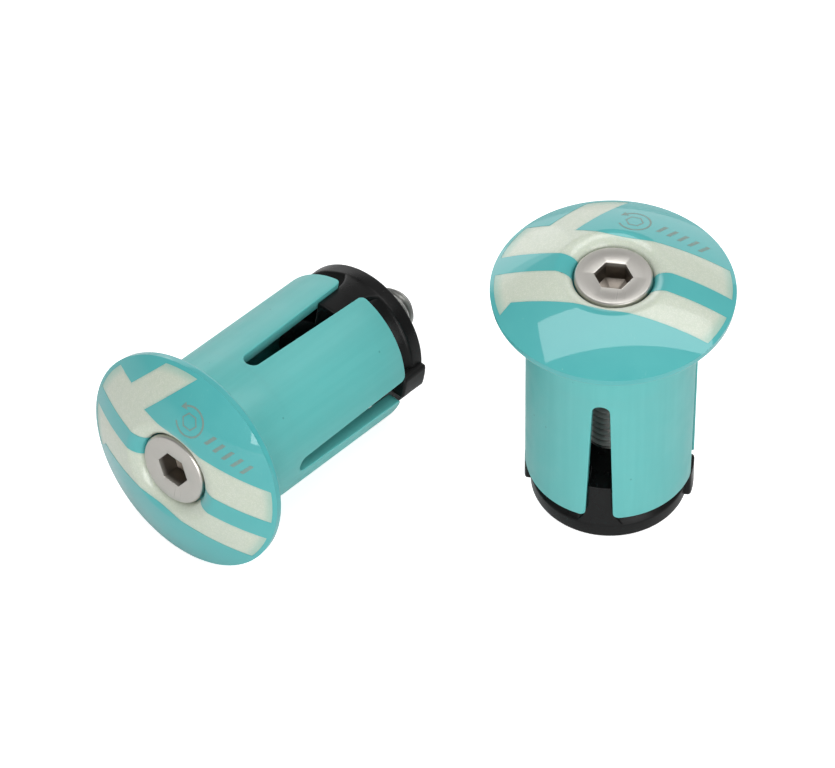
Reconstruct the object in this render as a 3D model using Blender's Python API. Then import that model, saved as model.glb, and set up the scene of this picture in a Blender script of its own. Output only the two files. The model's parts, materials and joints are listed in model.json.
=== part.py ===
"""A pair of expander bar end plugs for a drop handlebar, one standing and one lying.

Each plug has a domed cap with two glow inlays, a slotted sleeve of four springy fingers,
a countersunk bolt, and a wedge with a captive nut. Turning the bolt draws the wedge up
the sleeve, and the wedge spreads the fingers against the inside of the bar.

A plug is drawn in its own frame: its axis is Z, the cap is up, and Z is zero at the rim.
The slots lie along X and Y, and the cap's pattern is turned a little from them. Named
sizes are in millimetres and are turned to metres once.
"""

import math

import bmesh
import bpy
from mathutils import Matrix, Vector

MM = 0.001

# ---- driving dimensions, in millimetres and degrees -------------------------------------

CAP_RADIUS = 14.65
DOME_HEIGHT = 3.8            # apex of the dome's sphere above the rim, if it had no dish
RIM_DEPTH = 1.1              # from the rim down to the face that stops at the bar
RIM_ROUND = 0.45
SPIGOT_LENGTH = 2.4          # boss under the cap that locates the sleeve
SEAT_RECESS = 0.4            # shallow recess in the stop face for the sleeve's end
DISH_WIDTH = 1.9             # from the bolt head's edge out to where the dome starts
DISH_LEDGE = 0.15            # bottom of the dish below the bolt head's straight edge

SLEEVE_RADIUS = 10.36
SLEEVE_WALL = 1.75
SLEEVE_END = 29.65           # below the rim
SLOT_ROOT = 9.6              # below the rim
SLOT_ROOT_WIDTH = 2.15
SLOT_MOUTH_WIDTH = 3.4
FINGER_CORNER = 0.8
FINGER_COUNT = 4

BOLT_RADIUS = 3.0
BOLT_LENGTH = 43.6
HEAD_RADIUS = 4.7
HEAD_TOP = 2.4               # above the rim
HEAD_EDGE = 0.8              # straight side of the head
HEAD_CHAMFER = 0.25
TIP_CHAMFER = 0.9
SOCKET_FLATS = 4.0
SOCKET_DEPTH = 2.6

WEDGE_INSIDE = 4.7           # length of the wedge that starts inside the sleeve
WEDGE_OUTSIDE = 4.3          # length of it that shows below the sleeve's mouth
WEDGE_TOP_RADIUS = 6.3
WEDGE_STEP_IN = 0.74         # the wedge's outside edge, inside the sleeve's outside
WEDGE_FLARE = 2.4            # length of the flare under the sleeve's mouth
WEDGE_CHAMFER = 0.4
WEDGE_TRAVEL = 2.0           # how far the bolt draws the wedge up
KEY_GAP = 0.17               # between a key and the sides of its slot, at full travel
RIB_INSIDE = 4.5             # reach of the two flush ribs above the sleeve's mouth
RIB_FLUSH = 0.15             # outside of a flush rib, inside the wedge's outside edge
EAR_INSIDE = 0.1             # reach of the two ears above the sleeve's mouth
EAR_SHORT = 0.2              # an ear stops this far above the wedge's end face
EAR_PROUD = 0.05             # an ear stands this far out of the sleeve
NUT_FLATS = 10.0
NUT_THICKNESS = 4.6
NUT_INSET = 0.4              # nut's outer face inside the wedge's end face

INLAY_BORDER = 1.0           # cap-coloured border round the rim
INLAY_FLOOR_OUT = 0.15       # underside of the inlay above the rim, at its outer edge
INLAY_EDGE_IN = 0.45         # thickness of the inlay where it meets the dish
STRIPE_WIDTH = 2.9           # cap-coloured stripe between the two inlays
BAND_NECK = 1.0              # width of an inlay's band where it passes the bolt head
BRANCH_ANGLE = 60.0          # direction of the slanted edges
BRANCH_START = -6.0          # along the band's edge, where the branch leaves it
BRANCH_WIDTH = 3.5
SMALL_PANEL_STEP = 1.0       # the small panel's edge is this far outside the band's edge
LOWER_CORNER = -11.0         # along the lower band's edge, where it turns to the rim

GAP = 0.3                    # between pieces that touch
BORE_GAP = 0.3               # around the bolt

PATTERN_TURN = -6.0          # cap and inlays, turned against the sleeve's slots
STANDING_SPIN = -9.5         # how far each plug is turned about its own axis
LYING_SPIN = -3.9
LYING_HEADING = 229.6        # compass direction that the lying cap faces
PAIR_OFFSET = (51.8, 2.4)    # standing cap's centre from the lying cap's centre, X and Y

ROUND_STEPS = 72
BOLT_STEPS = 32
DOME_STEPS = 8
DISH_STEPS = 5
CORNER_STEPS = 4
FINGER_STEPS = 12

# ---- sizes worked out from them ---------------------------------------------------------

SPHERE_RADIUS = (CAP_RADIUS ** 2 + DOME_HEIGHT ** 2) / (2 * DOME_HEIGHT)
SLEEVE_BORE = SLEEVE_RADIUS - SLEEVE_WALL
SLEEVE_SEAT = RIM_DEPTH - SEAT_RECESS            # bottom of the recess, below the rim
SHANK_HOLE = BOLT_RADIUS + BORE_GAP
HEAD_EDGE_LOW = HEAD_TOP - HEAD_EDGE
DISH_BOTTOM = HEAD_EDGE_LOW - DISH_LEDGE
DISH_RADIUS = HEAD_RADIUS + GAP
DISH_RIM = DISH_RADIUS + DISH_WIDTH
SLOT_FULL = SLOT_ROOT + SLOT_ROOT_WIDTH / 2      # where the round root meets the slot's sides
FLEX_LEVEL = SLOT_FULL + GAP / 2                 # height of the fingers' hinges
FINGER_TOP = SLOT_FULL + GAP
FLEX_RADIUS = SLEEVE_RADIUS - SLEEVE_WALL / 2
BOLT_TIP = BOLT_LENGTH - HEAD_TOP                # below the rim
WEDGE_MOUTH_RADIUS = SLEEVE_BORE - GAP
WEDGE_TOP = SLEEVE_END - WEDGE_INSIDE            # levels below the rim
WEDGE_END = SLEEVE_END + WEDGE_OUTSIDE
RIB_TOP = SLEEVE_END - RIB_INSIDE
EAR_TOP = SLEEVE_END - EAR_INSIDE
WEDGE_RADIUS = SLEEVE_RADIUS - WEDGE_STEP_IN
RIB_RADIUS = WEDGE_RADIUS - RIB_FLUSH
EAR_RADIUS = SLEEVE_RADIUS + EAR_PROUD
INLAY_RADIUS = CAP_RADIUS - INLAY_BORDER
BAND_HALF = DISH_RADIUS + BAND_NECK              # outer edge of each band, from the axis
SMALL_PANEL_EDGE = BAND_HALF + SMALL_PANEL_STEP


def dome_height(radius):
    """Height of the dome above the rim plane at a radius."""
    return DOME_HEIGHT - SPHERE_RADIUS + math.sqrt(SPHERE_RADIUS ** 2 - radius ** 2)


def slot_half_width(level):
    """Half the width of a slot at a level below the rim."""
    along = (level - SLOT_FULL) / (SLEEVE_END - SLOT_FULL)
    return (SLOT_ROOT_WIDTH + (SLOT_MOUTH_WIDTH - SLOT_ROOT_WIDTH) * along) / 2


# ---- modelling helpers ------------------------------------------------------------------

def clear_scene():
    for item in list(bpy.data.objects):
        bpy.data.objects.remove(item, do_unlink=True)


def finished_mesh(bm, name):
    """Turn a bmesh drawn in millimetres into a closed mesh in metres, facing outwards."""
    bmesh.ops.remove_doubles(bm, verts=bm.verts, dist=0.0001)
    bmesh.ops.recalc_face_normals(bm, faces=bm.faces)
    bmesh.ops.scale(bm, vec=(MM, MM, MM), verts=bm.verts)
    mesh = bpy.data.meshes.new(name)
    bm.to_mesh(mesh)
    bm.free()
    return mesh


def turned(name, profile, steps=ROUND_STEPS):
    """Spin a closed profile of (radius, height) points round the Z axis."""
    bm = bmesh.new()
    points = [bm.verts.new((radius, 0, height)) for radius, height in profile]
    edges = [bm.edges.new((point, points[i - 1])) for i, point in enumerate(points)]
    bmesh.ops.spin(bm, geom=points + edges, cent=(0, 0, 0), axis=(0, 0, 1),
                   angle=2 * math.pi, steps=steps, use_merge=True)
    # the axis itself collapses to single points, so edges left along it go
    bmesh.ops.remove_doubles(bm, verts=bm.verts, dist=0.0001)
    loose = [edge for edge in bm.edges if not edge.link_faces]
    bmesh.ops.delete(bm, geom=loose, context="EDGES")
    return finished_mesh(bm, name)


def prism(name, outline, low, high):
    """Extrude a closed outline of (x, y) points from one height to another."""
    bm = bmesh.new()
    face = bm.faces.new([bm.verts.new((x, y, low)) for x, y in outline])
    walls = bmesh.ops.extrude_face_region(bm, geom=[face])
    raised = [item for item in walls["geom"] if isinstance(item, bmesh.types.BMVert)]
    bmesh.ops.translate(bm, vec=(0, 0, high - low), verts=raised)
    return finished_mesh(bm, name)


def hexagon(flats):
    """Corners of a hexagon of a given width across its flats, with flats facing Y."""
    corner = flats / 2 / math.cos(math.radians(30))
    return [(corner * math.cos(math.radians(60 * i)), corner * math.sin(math.radians(60 * i)))
            for i in range(6)]


def block(x_range, y_range, z_range):
    """A plain rectangular block."""
    (x0, x1), (y0, y1) = x_range, y_range
    return prism("block", [(x0, y0), (x1, y0), (x1, y1), (x0, y1)], *z_range)


def combine(mesh, tool, operation):
    """Return the mesh that a Boolean with a tool mesh leaves."""
    body = bpy.data.objects.new("work_body", mesh)
    cutter = bpy.data.objects.new("work_cutter", tool)
    for item in (body, cutter):
        bpy.context.scene.collection.objects.link(item)
    step = body.modifiers.new("combine", "BOOLEAN")
    step.operation = operation
    step.solver = "EXACT"
    step.object = cutter
    bpy.context.view_layer.update()
    solid = body.evaluated_get(bpy.context.evaluated_depsgraph_get())
    result = bpy.data.meshes.new_from_object(solid)
    result.name = mesh.name
    for item in (body, cutter):
        bpy.data.objects.remove(item, do_unlink=True)
    return result


def rotated(mesh, degrees):
    """Turn a mesh about the Z axis, and return it."""
    mesh.transform(Matrix.Rotation(math.radians(degrees), 4, "Z"))
    return mesh


def widened(outline, grow):
    """Move every side of a closed outline outwards by the same distance."""
    sides = []
    turn = sum(a[0] * b[1] - b[0] * a[1] for a, b in zip(outline, outline[1:] + outline[:1]))
    for a, b in zip(outline, outline[1:] + outline[:1]):
        along = (Vector(b) - Vector(a)).normalized()
        outwards = Vector((along.y, -along.x)) * math.copysign(grow, turn)
        sides.append((Vector(a) + outwards, along))
    corners = []
    for (p, u), (q, v) in zip(sides[-1:] + sides[:-1], sides):
        reach = (q - p).cross(v) / u.cross(v)
        corners.append(tuple(p + u * reach))
    return corners


# ---- cap and inlays ---------------------------------------------------------------------

def dome_points(outer, inner):
    """Profile points over the dome, from an outer radius to an inner one."""
    radii = [outer + (inner - outer) * i / DOME_STEPS for i in range(DOME_STEPS + 1)]
    return [(radius, dome_height(radius)) for radius in radii]


def dish_points():
    """Profile points from the top of the dish's rounded shoulder down to the bolt head."""
    drop = dome_height(DISH_RIM) - DISH_BOTTOM
    angles = [math.pi / 2 * (1 - i / DISH_STEPS) for i in range(1, DISH_STEPS + 1)]
    return [(DISH_RIM - DISH_WIDTH * math.cos(angle), DISH_BOTTOM + drop * math.sin(angle))
            for angle in angles]


def upper_band():
    """Outline of the inlay on the +Y side: a band with one slanted branch to the rim."""
    far = CAP_RADIUS * 1.5
    slant = Vector((math.cos(math.radians(BRANCH_ANGLE)), math.sin(math.radians(BRANCH_ANGLE))))
    inner = Vector((BRANCH_START, BAND_HALF))
    back = Vector((inner.x - BRANCH_WIDTH / slant.y, BAND_HALF))
    back += slant * ((SMALL_PANEL_EDGE - BAND_HALF) / slant.y)
    return [(-far, STRIPE_WIDTH / 2), (far, STRIPE_WIDTH / 2), (far, BAND_HALF),
            tuple(inner), tuple(inner + slant * far), tuple(back + slant * far), tuple(back),
            (-far, SMALL_PANEL_EDGE)]


def lower_band():
    """Outline of the inlay on the -Y side: a band that turns down to the rim at one end."""
    far = CAP_RADIUS * 1.5
    slant = Vector((math.cos(math.radians(BRANCH_ANGLE)), math.sin(math.radians(BRANCH_ANGLE))))
    corner = Vector((LOWER_CORNER, -BAND_HALF))
    end = corner - slant * far
    return [(far, -STRIPE_WIDTH / 2), (-far, -STRIPE_WIDTH / 2), (-far, end.y), tuple(end),
            tuple(corner), (far, -BAND_HALF)]


def inlay_blank(grow, height):
    """Ring that an inlay is cut from, or with grow and height its pocket's cutter."""
    floor_in = DISH_BOTTOM - INLAY_EDGE_IN
    outer = INLAY_RADIUS + grow
    if height:
        profile = [(outer, INLAY_FLOOR_OUT - grow), (outer, height),
                   (DISH_RADIUS - 2 * grow, height), (DISH_RADIUS - 2 * grow, floor_in - grow)]
    else:
        profile = [(outer, INLAY_FLOOR_OUT)] + dome_points(outer, DISH_RIM) + dish_points()
        profile.append((DISH_RADIUS, floor_in))
    return turned("inlay_blank", profile)


def make_inlay(name, outline):
    cutter = prism("cutter", outline, -CAP_RADIUS, CAP_RADIUS)
    solid = combine(inlay_blank(0, 0), cutter, "INTERSECT")
    solid.name = name
    return solid


def make_cap():
    """The domed cap with its rim, the boss for the sleeve, the bolt's seat and two pockets."""
    boss = RIM_DEPTH + SPIGOT_LENGTH
    seat_drop = DISH_RADIUS - SHANK_HOLE
    profile = [(SHANK_HOLE, -boss), (SLEEVE_BORE - GAP, -boss), (SLEEVE_BORE - GAP, -SLEEVE_SEAT),
               (SLEEVE_RADIUS + GAP, -SLEEVE_SEAT), (SLEEVE_RADIUS + GAP, -RIM_DEPTH),
               (CAP_RADIUS - RIM_ROUND, -RIM_DEPTH), (CAP_RADIUS, -RIM_DEPTH + RIM_ROUND)]
    profile += dome_points(CAP_RADIUS, DISH_RIM) + dish_points()
    profile.append((SHANK_HOLE, DISH_BOTTOM - seat_drop))
    cap = turned("cap", profile)
    for outline in (upper_band(), lower_band()):
        cutter = prism("cutter", widened(outline, GAP), -CAP_RADIUS, CAP_RADIUS)
        pocket = combine(inlay_blank(GAP, CAP_RADIUS), cutter, "INTERSECT")
        cap = combine(cap, pocket, "DIFFERENCE")
    return cap


# ---- sleeve -----------------------------------------------------------------------------

def make_collar():
    """Unslotted part of the sleeve, with the round roots of the slots in its lower edge."""
    top = SLEEVE_SEAT + GAP
    profile = [(SLEEVE_BORE, -SLOT_FULL), (SLEEVE_RADIUS, -SLOT_FULL),
               (SLEEVE_RADIUS, -top), (SLEEVE_BORE, -top)]
    collar = turned("collar", profile)
    root = SLOT_ROOT_WIDTH / 2
    # corners stay off the collar's lower edge, where they would graze it
    arc = [(root * math.cos(math.radians(a + 15)), root * math.sin(math.radians(a + 15)))
           for a in range(0, 360, 30)]
    for turn in (0, 90):
        cutter = prism("cutter", arc, -CAP_RADIUS, CAP_RADIUS)
        cutter.transform(Matrix.Rotation(math.pi / 2, 4, "Y"))
        cutter.transform(Matrix.Translation((0, 0, -SLOT_FULL * MM)))
        collar = combine(collar, rotated(cutter, turn), "DIFFERENCE")
    return collar


def finger_outline():
    """One finger laid flat: (angle from its middle in radians, level below the rim)."""
    def half_angle(level):
        return math.pi / FINGER_COUNT - math.asin(slot_half_width(level) / SLEEVE_RADIUS)

    corner = FINGER_CORNER / SLEEVE_RADIUS
    side = [(half_angle(FINGER_TOP), FINGER_TOP)]
    for i in range(CORNER_STEPS + 1):
        angle = math.pi / 2 * i / CORNER_STEPS
        level = SLEEVE_END - FINGER_CORNER * (1 - math.sin(angle))
        side.append((half_angle(level) - corner * (1 - math.cos(angle)), level))
    return side + [(-angle, level) for angle, level in reversed(side)]


def make_finger():
    """One springy finger, drawn with its hinge line at the origin and its middle on +X."""
    bm = bmesh.new()
    bm.faces.new([bm.verts.new((angle, 0, -level)) for angle, level in finger_outline()])
    widest = math.pi / FINGER_COUNT
    for i in range(1, FINGER_STEPS):
        at = widest * (2 * i / FINGER_STEPS - 1)
        bmesh.ops.bisect_plane(bm, geom=bm.verts[:] + bm.edges[:] + bm.faces[:],
                               plane_co=(at, 0, 0), plane_no=(1, 0, 0), dist=0.0001)
    walls = bmesh.ops.extrude_face_region(bm, geom=bm.faces[:])
    inner = {item for item in walls["geom"] if isinstance(item, bmesh.types.BMVert)}
    for vert in bm.verts:
        angle, level = vert.co.x, -vert.co.z
        radius = SLEEVE_RADIUS
        if vert in inner:
            # the slot's sides are parallel, so the bore's side has a little less angle
            radius = SLEEVE_BORE
            half = slot_half_width(level)
            outside = widest - math.asin(half / SLEEVE_RADIUS)
            angle *= (widest - math.asin(half / SLEEVE_BORE)) / outside
        vert.co = (radius * math.cos(angle) - FLEX_RADIUS, radius * math.sin(angle),
                   FLEX_LEVEL - level)
    return finished_mesh(bm, "finger")


# ---- bolt, wedge and nut ----------------------------------------------------------------

def make_bolt():
    """Countersunk bolt with a hexagon socket; its thread is drawn as its outer diameter."""
    cone = HEAD_RADIUS - BOLT_RADIUS
    profile = [(0, HEAD_TOP), (HEAD_RADIUS - HEAD_CHAMFER, HEAD_TOP),
               (HEAD_RADIUS, HEAD_TOP - HEAD_CHAMFER), (HEAD_RADIUS, HEAD_EDGE_LOW),
               (BOLT_RADIUS, HEAD_EDGE_LOW - cone), (BOLT_RADIUS, -BOLT_TIP + TIP_CHAMFER),
               (BOLT_RADIUS - TIP_CHAMFER, -BOLT_TIP), (0, -BOLT_TIP)]
    bolt = turned("bolt", profile, BOLT_STEPS)
    socket = prism("socket", hexagon(SOCKET_FLATS), HEAD_TOP - SOCKET_DEPTH, HEAD_TOP + GAP)
    return combine(bolt, socket, "DIFFERENCE")


def make_wedge():
    """Cone with a flared end, two ears, two flush ribs, and a pocket for the nut."""
    flare_end = SLEEVE_END + WEDGE_FLARE
    profile = [(SHANK_HOLE, -WEDGE_TOP), (WEDGE_TOP_RADIUS, -WEDGE_TOP),
               (WEDGE_MOUTH_RADIUS, -SLEEVE_END), (WEDGE_RADIUS, -flare_end),
               (WEDGE_RADIUS, -WEDGE_END + WEDGE_CHAMFER),
               (WEDGE_RADIUS - WEDGE_CHAMFER, -WEDGE_END), (SHANK_HOLE, -WEDGE_END)]
    wedge = turned("wedge", profile)
    # the slots narrow upwards, so the ribs' upper ends at full travel set the keys' width
    half = slot_half_width(RIB_TOP - WEDGE_TRAVEL) - KEY_GAP
    inner = WEDGE_TOP_RADIUS
    for turn, top, reach in ((0, EAR_TOP, EAR_RADIUS), (90, RIB_TOP, RIB_RADIUS),
                             (180, EAR_TOP, EAR_RADIUS), (270, RIB_TOP, RIB_RADIUS)):
        low = WEDGE_END - (EAR_SHORT if reach > WEDGE_RADIUS else WEDGE_CHAMFER * 2)
        key = rotated(block((inner, reach), (-half, half), (-low, -top)), turn)
        wedge = combine(wedge, key, "UNION")
    pocket_top = WEDGE_END - NUT_INSET - NUT_THICKNESS - GAP
    pocket = prism("pocket", hexagon(NUT_FLATS + 2 * GAP), -WEDGE_END - GAP, -pocket_top)
    return combine(wedge, pocket, "DIFFERENCE")


def make_nut():
    """Hexagon nut held in the wedge; its thread is drawn as a plain hole."""
    low = WEDGE_END - NUT_INSET
    nut = prism("nut", hexagon(NUT_FLATS), -low, -low + NUT_THICKNESS)
    hole = turned("hole", [(0, -low - GAP), (SHANK_HOLE, -low - GAP),
                           (SHANK_HOLE, -low + NUT_THICKNESS + GAP),
                           (0, -low + NUT_THICKNESS + GAP)], BOLT_STEPS)
    return combine(nut, hole, "DIFFERENCE")


# ---- materials and assembly -------------------------------------------------------------

def material(name, colour, roughness, metallic=0.0):
    result = bpy.data.materials.new(name)
    result.use_nodes = True
    shader = result.node_tree.nodes["Principled BSDF"]
    shader.inputs["Base Color"].default_value = (*colour, 1.0)
    shader.inputs["Roughness"].default_value = roughness
    shader.inputs["Metallic"].default_value = metallic
    return result


def make_pieces():
    """Every different piece of one plug: name, mesh, finish."""
    gloss = material("teal_gloss", (0.13, 0.50, 0.49), 0.18)
    satin = material("teal_satin", (0.14, 0.50, 0.47), 0.42)
    glow = material("glow_cream", (0.62, 0.68, 0.54), 0.35)
    nickel = material("satin_nickel", (0.48, 0.45, 0.42), 0.35, 1.0)
    black = material("black_plastic", (0.02, 0.02, 0.02), 0.40)
    steel = material("zinc_steel", (0.45, 0.46, 0.46), 0.40, 1.0)
    upper = make_inlay("glow_inlay_upper", upper_band())
    lower = make_inlay("glow_inlay_lower", lower_band())
    return {
        "cap": (rotated(make_cap(), PATTERN_TURN), gloss),
        "glow_inlay_upper": (rotated(upper, PATTERN_TURN), glow),
        "glow_inlay_lower": (rotated(lower, PATTERN_TURN), glow),
        "sleeve_collar": (make_collar(), satin),
        "finger": (make_finger(), satin),
        "bolt": (make_bolt(), nickel),
        "wedge": (make_wedge(), black),
        "captive_nut": (make_nut(), steel),
    }


def place(plug, name, mesh, finish, location=(0, 0, 0), turn=0.0):
    """Put one piece on a plug; a shared mesh gets one material and smooth shading."""
    if not mesh.materials:
        mesh.materials.append(finish)
        mesh.shade_smooth()
        mesh.set_sharp_from_angle(angle=math.radians(30))
    piece = bpy.data.objects.new(name, mesh)
    piece.location = location
    piece.rotation_euler = (0, 0, turn)
    piece.parent = plug
    bpy.context.scene.collection.objects.link(piece)
    return piece


def make_plug(prefix, pieces, matrix):
    """Assemble one plug under an empty that carries its place."""
    plug = bpy.data.objects.new(prefix + "_plug", None)
    bpy.context.scene.collection.objects.link(plug)
    plug.matrix_world = matrix
    placed = []
    for name, (mesh, finish) in pieces.items():
        if name != "finger":
            placed.append(place(plug, prefix + "_" + name, mesh, finish))
            continue
        for i in range(FINGER_COUNT):
            turn = math.pi / FINGER_COUNT + 2 * math.pi * i / FINGER_COUNT
            hinge = (FLEX_RADIUS * MM * math.cos(turn), FLEX_RADIUS * MM * math.sin(turn),
                     -FLEX_LEVEL * MM)
            placed.append(place(plug, f"{prefix}_finger_{i + 1}", mesh, finish, hinge, turn))
    return plug, placed


def standing_matrix():
    """Upright, with the bolt's tip on the ground."""
    x, y = PAIR_OFFSET
    lift = Matrix.Translation((x * MM, y * MM, BOLT_TIP * MM))
    return lift @ Matrix.Rotation(math.radians(STANDING_SPIN), 4, "Z")


def lying_matrix():
    """On its side: the rim and the wedge's end both touch the ground."""
    rim = (CAP_RADIUS, RIM_DEPTH - RIM_ROUND)
    foot = (WEDGE_RADIUS, WEDGE_END - WEDGE_CHAMFER)
    tilt = math.atan2(rim[0] - foot[0], foot[1] - rim[1])
    height = rim[0] * math.cos(tilt) + rim[1] * math.sin(tilt)
    heading = math.radians(LYING_HEADING)
    axis = Vector((math.cos(heading) * math.cos(tilt), math.sin(heading) * math.cos(tilt),
                   math.sin(tilt)))
    across = Vector((0, 0, 1)).cross(axis).normalized()
    up = axis.cross(across)
    frame = Matrix((across, up, axis)).transposed().to_4x4()
    spin = Matrix.Rotation(math.radians(LYING_SPIN), 4, "Z")
    return Matrix.Translation((0, 0, height * MM)) @ frame @ spin


def centre_on_origin(plugs, placed):
    """Move both plugs so that the middle of their footprint is the origin."""
    bpy.context.view_layer.update()
    corners = [piece.matrix_world @ vert.co for piece in placed for vert in piece.data.vertices]
    middle = [(min(c[i] for c in corners) + max(c[i] for c in corners)) / 2 for i in (0, 1)]
    for plug in plugs:
        plug.location.x -= middle[0]
        plug.location.y -= middle[1]
    bpy.context.view_layer.update()


def main():
    clear_scene()
    pieces = make_pieces()
    standing, standing_pieces = make_plug("standing", pieces, standing_matrix())
    lying, lying_pieces = make_plug("lying", pieces, lying_matrix())
    centre_on_origin((standing, lying), standing_pieces + lying_pieces)


main()
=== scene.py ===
"""Finished looks for a pair of expander bar end plugs, one standing and one lying.

Every piece is drawn in millimetres in its plug's own frame: Z runs up the plug's axis from
the rim of the cap, and the slots lie along X and Y. It is moved to its place at the end.
"""

import json
import math

import bmesh
import bpy
from mathutils import Matrix, Vector


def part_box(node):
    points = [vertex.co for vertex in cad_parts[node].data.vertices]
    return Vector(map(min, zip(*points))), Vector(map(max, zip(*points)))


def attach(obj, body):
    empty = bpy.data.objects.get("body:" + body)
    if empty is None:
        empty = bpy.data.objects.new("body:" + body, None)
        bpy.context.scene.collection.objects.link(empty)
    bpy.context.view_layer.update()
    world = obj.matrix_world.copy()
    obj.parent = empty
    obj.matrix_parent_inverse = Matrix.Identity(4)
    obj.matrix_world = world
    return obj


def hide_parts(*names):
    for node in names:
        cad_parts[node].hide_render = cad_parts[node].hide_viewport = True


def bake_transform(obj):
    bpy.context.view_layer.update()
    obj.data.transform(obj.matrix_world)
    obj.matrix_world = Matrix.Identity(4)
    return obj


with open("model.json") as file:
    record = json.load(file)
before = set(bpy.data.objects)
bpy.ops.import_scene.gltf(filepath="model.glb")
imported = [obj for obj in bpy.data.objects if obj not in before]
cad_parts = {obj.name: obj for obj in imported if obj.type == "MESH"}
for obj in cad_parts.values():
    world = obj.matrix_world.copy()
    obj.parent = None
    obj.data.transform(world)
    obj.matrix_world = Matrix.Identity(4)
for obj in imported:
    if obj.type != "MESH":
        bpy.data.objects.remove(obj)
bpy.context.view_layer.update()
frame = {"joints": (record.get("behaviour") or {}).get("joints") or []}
MM = 0.001
PLUGS = ("standing", "lying")
JOINTS = {joint["name"]: joint for joint in frame["joints"]}


# ---- sizes in millimetres, from the solid model where it holds them ----------------------

def below_rim(height):
    """Level below the standing plug's rim of a height in the world."""
    return (JOINTS["standing_bolt_turn"]["pos_m"][2] - height) / MM


def half_width(node):
    low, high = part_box(node)
    return (high.x - low.x) / 2 / MM


CAP_RADIUS = half_width("standing_cap") - 0.01
SLEEVE_RADIUS = half_width("standing_sleeve_collar")
SLEEVE_END = below_rim(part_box("standing_finger_1")[0].z)
WEDGE_END = below_rim(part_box("standing_wedge")[0].z)
BOLT_TIP = below_rim(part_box("standing_bolt")[0].z)
HEAD_TOP = -below_rim(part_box("standing_bolt")[1].z)
HEAD_RADIUS = half_width("standing_bolt")
NUT_TOP = below_rim(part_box("standing_captive_nut")[1].z)
NUT_END = below_rim(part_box("standing_captive_nut")[0].z)

DOME_HEIGHT = 3.8
SPHERE_RADIUS = (CAP_RADIUS ** 2 + DOME_HEIGHT ** 2) / (2 * DOME_HEIGHT)
RIM_DEPTH = 1.1
DISH_RADIUS = HEAD_RADIUS + 0.12
DISH_RIM = HEAD_RADIUS + 2.2
DISH_BOTTOM = HEAD_TOP - 0.95
INLAY_RADIUS = CAP_RADIUS - 0.5
STRIPE_HALF = 1.45
BAND_HALF = 6.0
SMALL_PANEL_EDGE = 7.0
BRANCH_START = -6.0
BRANCH_WIDTH = 3.5
BRANCH_ANGLE = math.radians(60)
LOWER_CORNER = -11.0
PATTERN_TURN = math.radians(-6)

SLEEVE_WALL = 1.75
SLOT_ROOT = 9.6
SLOT_ROOT_HALF = 1.075
SLOT_MOUTH_HALF = 1.7
SLOT_FULL = SLOT_ROOT + SLOT_ROOT_HALF
COLLAR_SEAM = 9.1
FINGER_CORNER = 0.8
QUARTER = math.pi / 2

SOCKET_FLATS = 4.0
SOCKET_FLOOR = HEAD_TOP - 2.6
THREAD_RADIUS = 2.97
THREAD_ROOT = 2.46
TIP_RADIUS = 2.1
PITCH = 1.0
SHANK_START = 2.7            # below the rim, where the thread leaves the head

WEDGE_RADIUS = SLEEVE_RADIUS - 0.69
WEDGE_TOP = SLEEVE_END - 4.7
EAR_TOP = SLEEVE_END - 0.1
EAR_END = WEDGE_END - 0.2
KEY_PLAY = 0.05
NUT_FLATS = 10.0
NUT_MIDDLE = -(NUT_TOP + NUT_END) / 2
BOLT_HOLE = 3.2
RIB_FOOT = 2.9               # how far a rib's foot reaches below the sleeve's mouth
RING_STEPS = 96
INLAY_SINK = 0.5
INLAY_DEPTH = 0.38
FILM = 0.012                 # half the thickness of the printed mark


# ---- placing ------------------------------------------------------------------------------

def plug_matrix(plug):
    """From a plug's own frame in millimetres to the world in metres."""
    turn = JOINTS[plug + "_bolt_turn"]
    rim = Vector(turn["pos_m"])
    axis = -Vector(turn["axis"]).normalized()
    hinge = Vector(JOINTS[plug + "_finger_1_flex"]["pos_m"]) - rim
    radial = (hinge - axis * hinge.dot(axis)).normalized()
    # the first finger's middle is an eighth of a turn from the first slot
    first_slot = (radial - axis.cross(radial)).normalized()
    turned = Matrix((first_slot, axis.cross(first_slot), axis)).transposed().to_4x4()
    return Matrix.Translation(rim) @ turned @ Matrix.Scale(MM, 4)


def tidied(bm):
    """Merge doubled corners and turn every face outwards."""
    bmesh.ops.remove_doubles(bm, verts=bm.verts, dist=0.0005)
    bmesh.ops.recalc_face_normals(bm, faces=bm.faces)
    return bm


def add_piece(name, shape, plug, body, finish, stands_for=(), turn=0.0):
    """A finished piece of one plug, in its place and on its body, from a shape drawn once."""
    mesh = bpy.data.meshes.new(f"{plug}_{name}")
    shape.to_mesh(mesh)
    mesh.transform(plug_matrix(plug) @ Matrix.Rotation(turn, 4, "Z"))
    mesh.shade_smooth()
    mesh.set_sharp_from_angle(angle=math.radians(30))
    mesh.materials.append(finish)
    piece = bpy.data.objects.new(f"{plug}_{name}", mesh)
    bpy.context.scene.collection.objects.link(piece)
    if body:
        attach(piece, f"{plug}_{body}")
    if stands_for:
        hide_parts(*(f"{plug}_{node}" for node in stands_for))
    return piece


# ---- bmesh helpers ------------------------------------------------------------------------

def spun(bm, profile, steps, closed=True):
    """Spin a profile of (radius, height) points a full turn about the axis."""
    points = [bm.verts.new((radius, 0, height)) for radius, height in profile]
    edges = [bm.edges.new(pair) for pair in zip(points, points[1:])]
    if closed:
        edges.append(bm.edges.new((points[-1], points[0])))
    bmesh.ops.spin(bm, geom=points + edges, cent=(0, 0, 0), axis=(0, 0, 1),
                   angle=2 * math.pi, steps=steps, use_merge=True)
    bmesh.ops.remove_doubles(bm, verts=bm.verts, dist=0.0001)


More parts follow.
